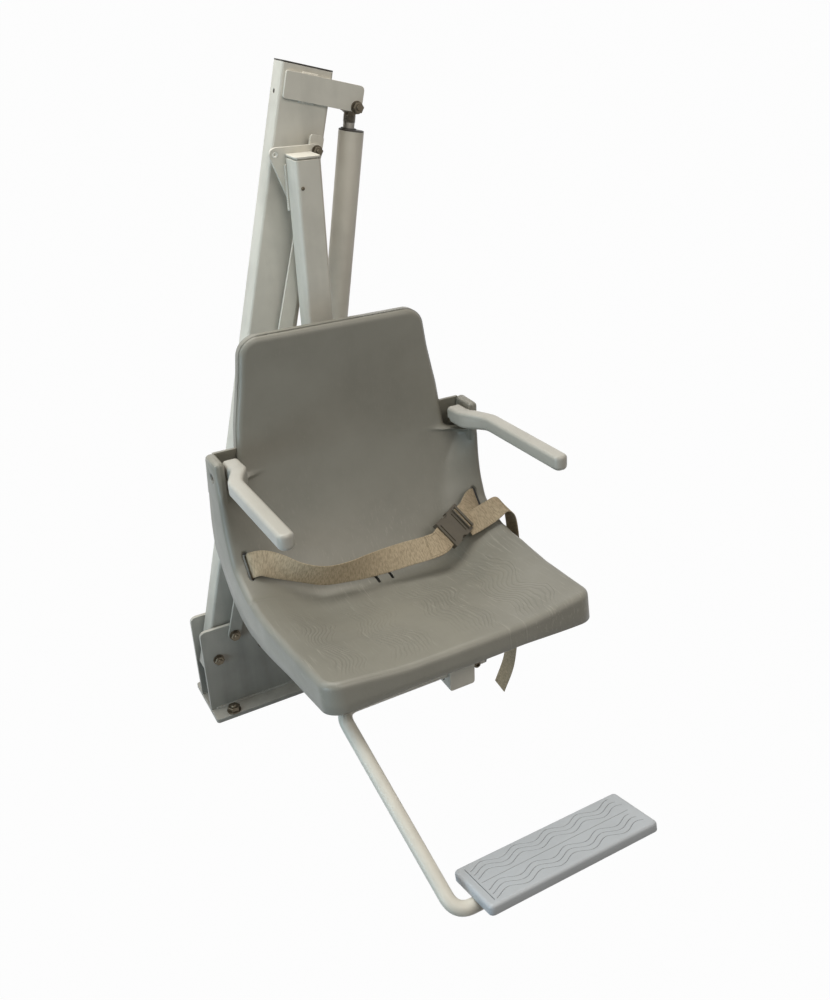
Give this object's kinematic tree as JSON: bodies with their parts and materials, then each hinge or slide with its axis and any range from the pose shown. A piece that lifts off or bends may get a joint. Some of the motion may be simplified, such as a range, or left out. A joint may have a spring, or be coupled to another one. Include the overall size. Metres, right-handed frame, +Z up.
{
  "type": "pool patient lift",
  "caption": "Deck-mounted pool lift: tilting mast with parallel link and linear actuator, level moulded seat, fold-up arms, lap belt and swinging footrest.",
  "frame": {"origin": "on the deck, straight under the mast's lower pivot, midway between the base's side plates", "axes": "+X across the seat towards the deck (-X is the pool side), +Y behind the seat (the seat faces -Y), +Z up"},
  "size_m": [0.6131, 1.0547, 1.3349],
  "materials": {
    "powder_coat": "light warm grey powder coat",
    "seat_plastic": "moulded grey plastic, fine grain",
    "arm_plastic": "moulded light grey plastic",
    "pad_plastic": "moulded grey plastic with wavy grooves",
    "stainless": "stainless fastener",
    "dark_steel": "dull steel",
    "black_plastic": "dark plastic cap",
    "buckle_plastic": "satin brown-grey moulding",
    "webbing": "woven webbing",
    "rubber": "matt rubber",
    "nylon": "pale nylon"
  },
  "bodies": {
    "base": {"base_plate": "powder_coat", "side_plate_near": "powder_coat", "side_plate_far": "powder_coat", "base_web": "powder_coat", "anchor_bolt_1": "stainless", "anchor_bolt_2": "stainless", "anchor_bolt_3": "stainless", "anchor_bolt_4": "stainless", "mast_pivot_bolt": "stainless", "stop_bolt": "stainless", "stop_sleeve": "rubber", "link_pivot_bolt": "stainless", "foot_pivot_bolt": "stainless"},
    "mast": {"mast_tube": "powder_coat", "mast_cap": "nylon", "mast_pivot_bush": "dark_steel", "carriage_bush": "dark_steel", "rod_bracket_near": "powder_coat", "rod_bracket_far": "powder_coat", "rod_bolt": "stainless", "rod_bolt_nut": "stainless"},
    "link": {"link_bar": "powder_coat", "link_bush_lower": "nylon", "link_bush_upper": "nylon"},
    "barrel": {"actuator_foot": "dark_steel", "actuator_barrel": "powder_coat", "actuator_collar": "dark_steel"},
    "rod": {"actuator_rod": "stainless", "rod_eye": "dark_steel"},
    "carriage": {"coupler_plate": "powder_coat", "carriage_pin": "dark_steel", "spare_bush": "nylon", "link_top_bolt": "stainless", "seat_post": "powder_coat", "post_cap": "nylon", "post_screw": "stainless", "seat_beam": "powder_coat", "beam_cap": "black_plastic", "seat_cradle": "powder_coat", "seat_bolt_1": "stainless", "seat_bolt_2": "stainless", "seat_bolt_3": "stainless", "seat_bolt_4": "stainless", "seat_shell": "seat_plastic", "arm_pin_left": "stainless", "arm_pin_right": "stainless", "belt_left": "webbing", "belt_right": "webbing", "belt_tail": "webbing", "buckle_socket": "buckle_plastic"},
    "arm_left": {"arm_left": "arm_plastic"},
    "arm_right": {"arm_right": "arm_plastic"},
    "footrest": {"footrest_tube": "powder_coat", "footrest_board": "pad_plastic", "footrest_screw_left": "stainless", "footrest_screw_right": "stainless", "footrest_plug_upper": "black_plastic", "footrest_plug_lower": "black_plastic", "footrest_stop_bolt": "dark_steel"},
    "tongue": {"buckle_tongue": "buckle_plastic"}
  },
  "joints": [
    {"name": "mast_swing", "type": "hinge", "parent": "base", "child": "mast", "pos_m": [0, 0, 0.138], "axis": [0, -1, 0], "range_deg": [0, 105]},
    {"name": "carriage_level", "type": "hinge", "parent": "mast", "child": "carriage", "pos_m": [0.27462, 0, 1.1249], "axis": [0, -1, 0], "range_deg": [-105.01, 0.01]},
    {"name": "link_swing", "type": "hinge", "parent": "base", "child": "link", "pos_m": [0.0405, 0, 0.192], "axis": [0, -1, 0], "range_deg": [-0.01, 105.01]},
    {"name": "cylinder_pivot", "type": "hinge", "parent": "base", "child": "barrel", "pos_m": [0.2405, 0, 0.238], "axis": [0, -1, 0], "range_deg": [-0.01, 99.2]},
    {"name": "rod_slide", "type": "slide", "parent": "barrel", "child": "rod", "axis": [0.1666, 0, 0.986], "range_m": [-0.0001, 0.39502]},
    {"name": "arm_left_fold", "type": "hinge", "parent": "carriage", "child": "arm_left", "pos_m": [0.277, -0.197, 0.65], "axis": [-1, 0, 0], "range_deg": [0, 78]},
    {"name": "arm_right_fold", "type": "hinge", "parent": "carriage", "child": "arm_right", "pos_m": [0.277, -0.197, 0.65], "axis": [-1, 0, 0], "range_deg": [0, 78]},
    {"name": "footrest_fold", "type": "hinge", "parent": "carriage", "child": "footrest", "pos_m": [0.277, -0.603, 0.38], "axis": [1, 0, 0], "range_deg": [0, 55]},
    {"name": "buckle_release", "type": "slide", "parent": "carriage", "child": "tongue", "axis": [0.8639, 0.4788, 0.1564], "range_m": [0, 0.013]}
  ],
  "couplings": [
    {"joint": "carriage_level", "follows": "mast_swing", "ratio": -1},
    {"joint": "link_swing", "follows": "mast_swing", "ratio": 1},
    {"joint": "cylinder_pivot", "follows": "mast_swing", "ratio": 0.94459},
    {"joint": "rod_slide", "follows": "mast_swing", "m_per_rad": 0.21544}
  ]
}
